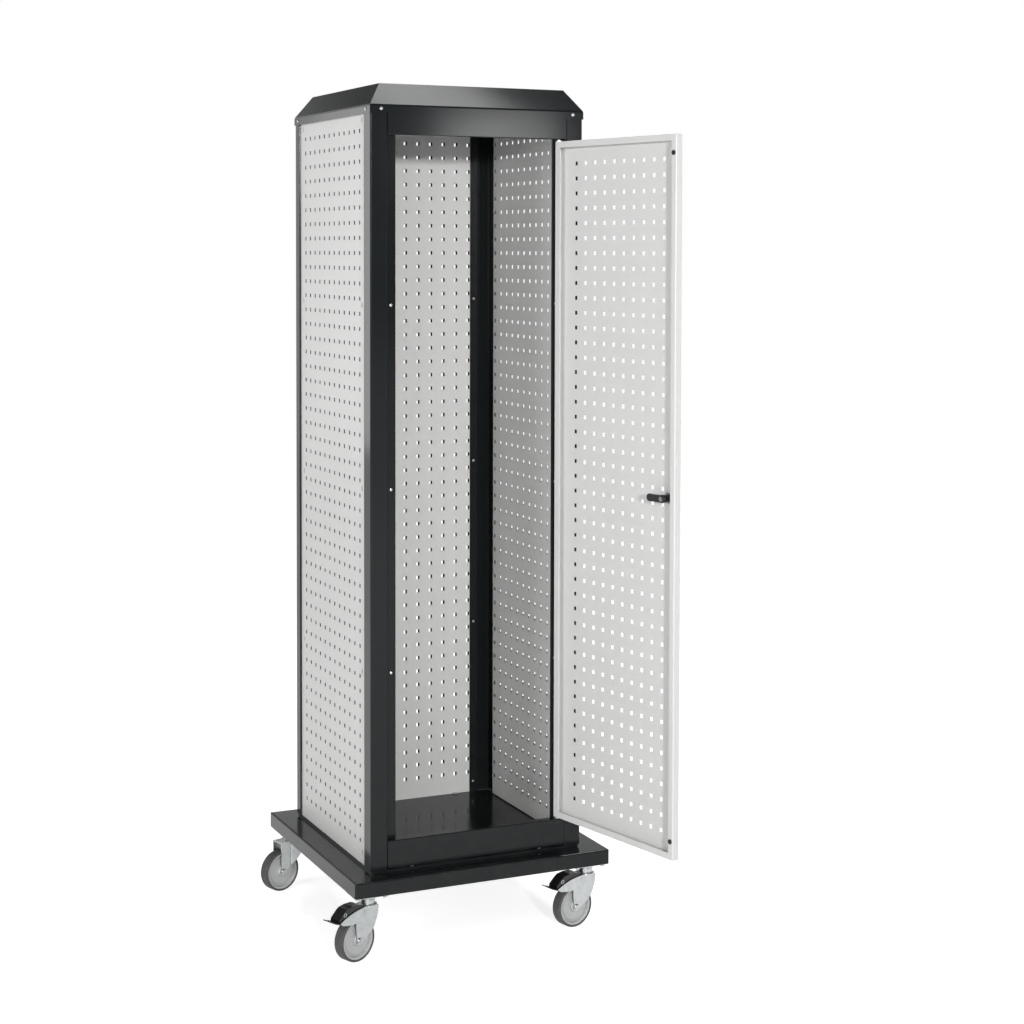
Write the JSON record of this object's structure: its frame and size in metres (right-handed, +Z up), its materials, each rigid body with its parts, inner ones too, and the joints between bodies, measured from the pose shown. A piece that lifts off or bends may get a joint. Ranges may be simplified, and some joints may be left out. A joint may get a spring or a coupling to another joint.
{
  "type": "mobile perforated tool tower",
  "caption": "Tall square tool tower of perforated sheet panels on a castored dolly, with a perforated hinged door standing open and a sloped roof cap.",
  "frame": {"origin": "on the floor, under the middle of the tower", "axes": "+Z up, -Y to the front with the doorway, +X to the hinge side of the door"},
  "size_m": [0.7763, 1.0783, 2.166],
  "materials": {
    "frame_paint": "satin powder coat, anthracite",
    "panel_paint": "satin powder coat, light grey",
    "zinc": "zinc plated",
    "blackened_steel": "blackened steel",
    "rim": "moulded, satin",
    "tyre": "matte rubber",
    "black_plastic": "moulded, satin",
    "buffer_rubber": "matte"
  },
  "bodies": {
    "tower": {"dolly_tray": "frame_paint", "corner_gussets": "frame_paint", "floor_tray": "frame_paint", "tower_bolts": "zinc", "post_front_left": "frame_paint", "post_front_right": "frame_paint", "post_back_left": "frame_paint", "post_back_right": "frame_paint", "sill": "frame_paint", "lintel": "frame_paint", "left_panel": "panel_paint", "right_panel": "panel_paint", "back_panel": "panel_paint", "roof_cap": "frame_paint", "roof_screws": "zinc", "post_screws": "zinc", "panel_rivets": "zinc", "hinge_pins": "zinc", "front_left_plate": "zinc", "front_right_plate": "zinc", "back_left_plate": "zinc", "back_right_plate": "zinc", "kingpins": "zinc", "castor_bolts": "zinc"},
    "door": {"door_pan": "panel_paint", "door_buffers": "buffer_rubber", "lock_housing": "black_plastic", "lock_nut": "zinc"},
    "lock": {"lock_cylinder": "zinc", "lock_cam": "blackened_steel", "cam_screw": "zinc"},
    "front_left_swivel": {"front_left_fork": "zinc", "front_left_axle": "zinc", "front_left_brake_pin": "zinc"},
    "front_left_wheel": {"front_left_rim": "rim", "front_left_tyre": "tyre"},
    "front_left_lever": {"front_left_brake": "black_plastic", "front_left_pedal": "blackened_steel"},
    "front_right_swivel": {"front_right_fork": "zinc", "front_right_axle": "zinc", "front_right_brake_pin": "zinc"},
    "front_right_wheel": {"front_right_rim": "rim", "front_right_tyre": "tyre"},
    "front_right_lever": {"front_right_brake": "black_plastic", "front_right_pedal": "blackened_steel"},
    "back_left_swivel": {"back_left_fork": "zinc", "back_left_axle": "zinc"},
    "back_left_wheel": {"back_left_rim": "rim", "back_left_tyre": "tyre"},
    "back_right_swivel": {"back_right_fork": "zinc", "back_right_axle": "zinc"},
    "back_right_wheel": {"back_right_rim": "rim", "back_right_tyre": "tyre"}
  },
  "joints": [
    {"name": "door_hinge", "type": "hinge", "parent": "tower", "child": "door", "pos_m": [0.2303, -0.278, 1.158], "axis": [0, 0, 1], "range_deg": [-101.8, 0]},
    {"name": "lock_turn", "type": "hinge", "parent": "door", "child": "lock", "pos_m": [0.32957, -0.6945, 1.157], "axis": [0.9789, 0.2045, 0], "range_deg": [0, 180]},
    {"name": "front_left_swivel", "type": "hinge", "parent": "tower", "child": "front_left_swivel", "pos_m": [-0.302, -0.297, 0.147], "axis": [0, 0, 1], "continuous": true},
    {"name": "front_left_roll", "type": "hinge", "parent": "front_left_swivel", "child": "front_left_wheel", "pos_m": [-0.34121, -0.31205, 0.054], "axis": [0.3584, -0.9336, 0], "continuous": true},
    {"name": "front_left_brake", "type": "hinge", "parent": "front_left_swivel", "child": "front_left_lever", "pos_m": [-0.32441, -0.3056, 0.122], "axis": [0.3584, -0.9336, 0], "range_deg": [0, 7]},
    {"name": "front_right_swivel", "type": "hinge", "parent": "tower", "child": "front_right_swivel", "pos_m": [0.302, -0.297, 0.147], "axis": [0, 0, 1], "continuous": true},
    {"name": "front_right_roll", "type": "hinge", "parent": "front_right_swivel", "child": "front_right_wheel", "pos_m": [0.26092, -0.30573, 0.054], "axis": [0.2079, -0.9781, 0], "continuous": true},
    {"name": "front_right_brake", "type": "hinge", "parent": "front_right_swivel", "child": "front_right_lever", "pos_m": [0.27852, -0.30199, 0.122], "axis": [0.2079, -0.9781, 0], "range_deg": [0, 7]},
    {"name": "back_left_swivel", "type": "hinge", "parent": "tower", "child": "back_left_swivel", "pos_m": [-0.302, 0.297, 0.147], "axis": [0, 0, 1], "continuous": true},
    {"name": "back_left_roll", "type": "hinge", "parent": "back_left_swivel", "child": "back_left_wheel", "pos_m": [-0.34194, 0.28402, 0.054], "axis": [0.309, -0.9511, 0], "continuous": true},
    {"name": "back_right_swivel", "type": "hinge", "parent": "tower", "child": "back_right_swivel", "pos_m": [0.302, 0.297, 0.147], "axis": [0, 0, 1], "continuous": true},
    {"name": "back_right_roll", "type": "hinge", "parent": "back_right_swivel", "child": "back_right_wheel", "pos_m": [0.26143, 0.28613, 0.054], "axis": [0.2588, -0.9659, 0], "continuous": true}
  ]
}
